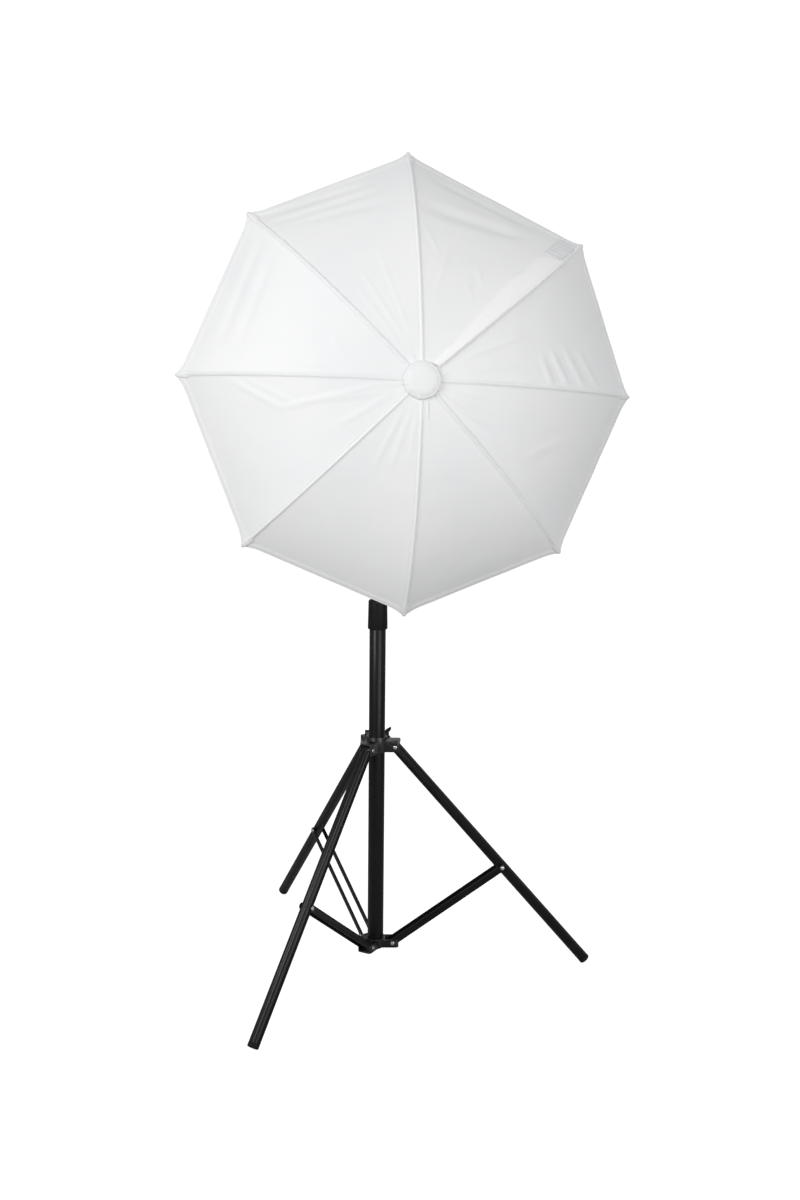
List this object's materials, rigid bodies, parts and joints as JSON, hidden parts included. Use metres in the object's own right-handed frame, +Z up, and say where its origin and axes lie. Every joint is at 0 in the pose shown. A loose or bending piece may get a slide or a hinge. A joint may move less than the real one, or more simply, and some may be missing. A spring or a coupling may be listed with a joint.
{
  "type": "umbrella softbox on a light stand",
  "caption": "White domed octagonal umbrella softbox with a swivel bracket on a black folding three-legged light stand.",
  "frame": {"origin": "centre of the object's footprint box, on the floor", "axes": "+Z up, +X along the right-hand leg as seen from the front; the softbox faces about -Y"},
  "size_m": [0.7584, 0.8894, 1.5238],
  "materials": {
    "black_metal": "satin",
    "stamped_metal": "satin",
    "black_plastic": "fine matte grain",
    "steel": "plain drawn steel",
    "rubber": "matte",
    "white_cloth": "thin plain-weave nylon",
    "rear_cloth": "coated nylon, silver-white inside"
  },
  "bodies": {
    "stand": {"outer_tube": "black_metal", "base_plug": "black_plastic", "base_collar": "stamped_metal", "lock_collar_lower": "black_plastic"},
    "spider": {"spider": "stamped_metal"},
    "spider_knob": {"spider_knob": "black_plastic"},
    "lock_knob_lower": {"lock_knob_lower": "black_plastic"},
    "mid_section": {"mid_tube": "black_metal", "mid_bush": "black_plastic", "lock_collar_upper": "black_plastic"},
    "lock_knob_upper": {"lock_knob_upper": "black_plastic"},
    "upper_section": {"upper_tube": "black_metal", "upper_bush": "black_plastic", "stand_stud": "steel"},
    "bracket": {"stand_socket": "black_plastic", "tilt_bolt": "steel"},
    "socket_knob": {"socket_knob": "black_plastic"},
    "tilt_lever": {"tilt_lever": "black_plastic"},
    "tilt_head": {"tilt_head": "black_plastic", "flash_shoe": "stamped_metal"},
    "shaft_screw": {"shaft_screw": "black_plastic"},
    "shoe_ring": {"shoe_ring": "black_plastic"},
    "softbox": {"shaft": "steel", "shaft_end_cap": "rubber", "crown": "black_plastic", "canopy": "white_cloth", "hub_cap": "white_cloth", "closure_flap": "white_cloth", "rear_cover": "rear_cloth"},
    "runner": {"runner": "black_plastic"},
    "runner_catch": {"runner_catch": "steel"},
    "leg_right": {"leg_right": "black_metal", "foot_right": "rubber"},
    "brace_right": {"brace_right": "black_metal"},
    "leg_front": {"leg_front": "black_metal", "foot_front": "rubber"},
    "brace_front": {"brace_front": "black_metal"},
    "leg_rear": {"leg_rear": "black_metal", "foot_rear": "rubber"},
    "brace_rear": {"brace_rear": "black_metal"},
    "rib_1": {"rib_1": "steel"},
    "stretcher_1": {"stretcher_1": "steel"},
    "rib_2": {"rib_2": "steel"},
    "stretcher_2": {"stretcher_2": "steel"},
    "rib_3": {"rib_3": "steel"},
    "stretcher_3": {"stretcher_3": "steel"},
    "rib_4": {"rib_4": "steel"},
    "stretcher_4": {"stretcher_4": "steel"},
    "rib_5": {"rib_5": "steel"},
    "stretcher_5": {"stretcher_5": "steel"},
    "rib_6": {"rib_6": "steel"},
    "stretcher_6": {"stretcher_6": "steel"},
    "rib_7": {"rib_7": "steel"},
    "stretcher_7": {"stretcher_7": "steel"},
    "rib_8": {"rib_8": "steel"},
    "stretcher_8": {"stretcher_8": "steel"}
  },
  "joints": [
    {"name": "spider_slide", "type": "slide", "parent": "stand", "child": "spider", "axis": [0, 0, 1], "range_m": [0, 0.19]},
    {"name": "spider_knob_turn", "type": "hinge", "parent": "spider", "child": "spider_knob", "pos_m": [-0.04638, 0.09328, 0.4705], "axis": [1, 0, 0], "range_deg": [-180, 180]},
    {"name": "leg_right_fold", "type": "hinge", "parent": "spider", "child": "leg_right", "pos_m": [-0.01948, 0.06628, 0.4525], "axis": [0, 1, 0], "range_deg": [0, 35.7]},
    {"name": "brace_right_fold", "type": "hinge", "parent": "stand", "child": "brace_right", "pos_m": [-0.02108, 0.06628, 0.0457], "axis": [0, 1, 0], "range_deg": [-46.9, 0]},
    {"name": "leg_front_fold", "type": "hinge", "parent": "spider", "child": "leg_front", "pos_m": [-0.07378, 0.03493, 0.4525], "axis": [0.866, -0.5, 0], "range_deg": [0, 35.7]},
    {"name": "brace_front_fold", "type": "hinge", "parent": "stand", "child": "brace_front", "pos_m": [-0.07298, 0.03631, 0.0457], "axis": [0.866, -0.5, 0], "range_deg": [-46.9, 0]},
    {"name": "leg_rear_fold", "type": "hinge", "parent": "spider", "child": "leg_rear", "pos_m": [-0.07378, 0.09763, 0.4525], "axis": [-0.866, -0.5, 0], "range_deg": [0, 35.7]},
    {"name": "brace_rear_fold", "type": "hinge", "parent": "stand", "child": "brace_rear", "pos_m": [-0.07298, 0.09624, 0.0457], "axis": [-0.866, -0.5, 0], "range_deg": [-46.9, 0]},
    {"name": "lock_knob_lower_turn", "type": "hinge", "parent": "stand", "child": "lock_knob_lower", "pos_m": [-0.05568, 0.09298, 0.7235], "axis": [0, 1, 0], "range_deg": [-180, 180]},
    {"name": "mid_slide", "type": "slide", "parent": "stand", "child": "mid_section", "axis": [0, 0, 1], "range_m": [-0.13, 0.3]},
    {"name": "lock_knob_upper_turn", "type": "hinge", "parent": "mid_section", "child": "lock_knob_upper", "pos_m": [-0.05568, 0.08918, 0.9215], "axis": [0, 1, 0], "range_deg": [-180, 180]},
    {"name": "upper_slide", "type": "slide", "parent": "mid_section", "child": "upper_section", "axis": [0, 0, 1], "range_m": [-0.085, 0.25]},
    {"name": "head_pan", "type": "hinge", "parent": "upper_section", "child": "bracket", "pos_m": [-0.05568, 0.06628, 1.0575], "axis": [0, 0, 1], "range_deg": [-170, 170]},
    {"name": "socket_knob_turn", "type": "hinge", "parent": "bracket", "child": "socket_knob", "pos_m": [-0.07581, 0.06364, 1.0435], "axis": [-0.9915, -0.1298, 0], "range_deg": [-180, 180]},
    {"name": "tilt_lever_turn", "type": "hinge", "parent": "bracket", "child": "tilt_lever", "pos_m": [-0.05568, 0.06628, 1.0931], "axis": [0.9915, 0.1298, 0], "range_deg": [-45, 45]},
    {"name": "head_tilt", "type": "hinge", "parent": "bracket", "child": "tilt_head", "pos_m": [-0.05568, 0.06628, 1.0931], "axis": [-0.9915, -0.1298, 0], "range_deg": [-30, 75]},
    {"name": "shaft_screw_turn", "type": "hinge", "parent": "tilt_head", "child": "shaft_screw", "pos_m": [-0.06917, 0.06685, 1.12502], "axis": [-0.9915, -0.1298, 0], "range_deg": [-180, 180]},
    {"name": "shoe_ring_turn", "type": "hinge", "parent": "tilt_head", "child": "shoe_ring", "pos_m": [-0.05613, 0.06973, 1.14097], "axis": [-0.0094, 0.0719, 0.9974], "range_deg": [-180, 180]},
    {"name": "softbox_slide", "type": "slide", "parent": "tilt_head", "child": "softbox", "axis": [-0.1295, 0.9889, -0.0725], "range_m": [-0.09, 0.05]},
    {"name": "runner_slide", "type": "slide", "parent": "softbox", "child": "runner", "axis": [-0.1295, 0.9889, -0.0725], "range_m": [0, 0.2152], "deforming": ["canopy", "closure_flap", "rear_cover"]},
    {"name": "catch_press", "type": "slide", "parent": "runner", "child": "runner_catch", "axis": [0.0094, -0.0719, -0.9974], "range_m": [0, 0.0015], "stiffness_N_per_m": 300, "springref_m": -0.001},
    {"name": "rib_1_fold", "type": "hinge", "parent": "softbox", "child": "rib_1", "pos_m": [0.01817, -0.42072, 1.16069], "axis": [0.0217, 0.076, 0.9969], "range_deg": [0, 66.5]},
    {"name": "stretcher_1_fold", "type": "hinge", "parent": "runner", "child": "stretcher_1", "pos_m": [-0.00001, -0.27793, 1.15371], "axis": [0.0217, 0.076, 0.9969], "range_deg": [-40.3, 0]},
    {"name": "rib_2_fold", "type": "hinge", "parent": "softbox", "child": "rib_2", "pos_m": [0.0159, -0.42054, 1.16728], "axis": [-0.6313, -0.0258, 0.7751], "range_deg": [0, 66.5]},
    {"name": "stretcher_2_fold", "type": "hinge", "parent": "runner", "child": "stretcher_2", "pos_m": [-0.00466, -0.27809, 1.15979], "axis": [-0.6313, -0.0258, 0.7751], "range_deg": [-40.3, 0]},
    {"name": "rib_3_fold", "type": "hinge", "parent": "softbox", "child": "rib_3", "pos_m": [0.00816, -0.42128, 1.17098], "axis": [-0.9915, -0.1298, 0], "range_deg": [0, 66.5]},
    {"name": "stretcher_3_fold", "type": "hinge", "parent": "runner", "child": "stretcher_3", "pos_m": [-0.01397, -0.27923, 1.16092], "axis": [-0.9915, -0.1298, 0], "range_deg": [-40.3, 0]},
    {"name": "rib_4_fold", "type": "hinge", "parent": "softbox", "child": "rib_4", "pos_m": [0.00136, -0.42237, 1.16824], "axis": [-0.7128, -0.1437, -0.6865], "range_deg": [0, 66.5]},
    {"name": "stretcher_4_fold", "type": "hinge", "parent": "runner", "child": "stretcher_4", "pos_m": [-0.02006, -0.28041, 1.15567], "axis": [-0.7128, -0.1437, -0.6865], "range_deg": [-40.3, 0]},
    {"name": "rib_5_fold", "type": "hinge", "parent": "softbox", "child": "rib_5", "pos_m": [-0.00165, -0.42326, 1.16144], "axis": [-0.0338, -0.0775, -0.9964], "range_deg": [0, 66.5]},
    {"name": "stretcher_5_fold", "type": "hinge", "parent": "runner", "child": "stretcher_5", "pos_m": [-0.02082, -0.28111, 1.14752], "axis": [-0.0338, -0.0775, -0.9964], "range_deg": [-40.3, 0]},
    {"name": "rib_6_fold", "type": "hinge", "parent": "softbox", "child": "rib_6", "pos_m": [0.00112, -0.42344, 1.15415], "axis": [0.6881, 0.0369, -0.7247], "range_deg": [0, 66.5]},
    {"name": "stretcher_6_fold", "type": "hinge", "parent": "runner", "child": "stretcher_6", "pos_m": [-0.01542, -0.28089, 1.14089], "axis": [0.6881, 0.0369, -0.7247], "range_deg": [-40.3, 0]},
    {"name": "rib_7_fold", "type": "hinge", "parent": "softbox", "child": "rib_7", "pos_m": [0.00816, -0.42274, 1.15103], "axis": [0.9915, 0.1284, -0.0191], "range_deg": [0, 66.5]},
    {"name": "stretcher_7_fold", "type": "hinge", "parent": "runner", "child": "stretcher_7", "pos_m": [-0.00703, -0.27985, 1.14011], "axis": [0.9915, 0.1284, -0.0191], "range_deg": [-40.3, 0]},
    {"name": "rib_8_fold", "type": "hinge", "parent": "softbox", "child": "rib_8", "pos_m": [0.01514, -0.42163, 1.15376], "axis": [0.714, 0.1438, 0.6853], "range_deg": [0, 66.5]},
    {"name": "stretcher_8_fold", "type": "hinge", "parent": "runner", "child": "stretcher_8", "pos_m": [-0.00074, -0.27864, 1.14541], "axis": [0.714, 0.1438, 0.6853], "range_deg": [-40.3, 0]}
  ],
  "couplings": [
    {"joint": "leg_right_fold", "follows": "spider_slide", "rad_per_m": 3.2646},
    {"joint": "brace_right_fold", "follows": "spider_slide", "rad_per_m": -4.2966},
    {"joint": "leg_front_fold", "follows": "spider_slide", "rad_per_m": 3.2646},
    {"joint": "brace_front_fold", "follows": "spider_slide", "rad_per_m": -4.2966},
    {"joint": "leg_rear_fold", "follows": "spider_slide", "rad_per_m": 3.2646},
    {"joint": "brace_rear_fold", "follows": "spider_slide", "rad_per_m": -4.2966},
    {"joint": "rib_1_fold", "follows": "runner_slide", "rad_per_m": 5.3528},
    {"joint": "stretcher_1_fold", "follows": "runner_slide", "rad_per_m": -3.2506},
    {"joint": "rib_2_fold", "follows": "runner_slide", "rad_per_m": 5.3528},
    {"joint": "stretcher_2_fold", "follows": "runner_slide", "rad_per_m": -3.2506},
    {"joint": "rib_3_fold", "follows": "runner_slide", "rad_per_m": 5.3528},
    {"joint": "stretcher_3_fold", "follows": "runner_slide", "rad_per_m": -3.2506},
    {"joint": "rib_4_fold", "follows": "runner_slide", "rad_per_m": 5.3528},
    {"joint": "stretcher_4_fold", "follows": "runner_slide", "rad_per_m": -3.2506},
    {"joint": "rib_5_fold", "follows": "runner_slide", "rad_per_m": 5.3528},
    {"joint": "stretcher_5_fold", "follows": "runner_slide", "rad_per_m": -3.2506},
    {"joint": "rib_6_fold", "follows": "runner_slide", "rad_per_m": 5.3528},
    {"joint": "stretcher_6_fold", "follows": "runner_slide", "rad_per_m": -3.2506},
    {"joint": "rib_7_fold", "follows": "runner_slide", "rad_per_m": 5.3528},
    {"joint": "stretcher_7_fold", "follows": "runner_slide", "rad_per_m": -3.2506},
    {"joint": "rib_8_fold", "follows": "runner_slide", "rad_per_m": 5.3528},
    {"joint": "stretcher_8_fold", "follows": "runner_slide", "rad_per_m": -3.2506}
  ]
}
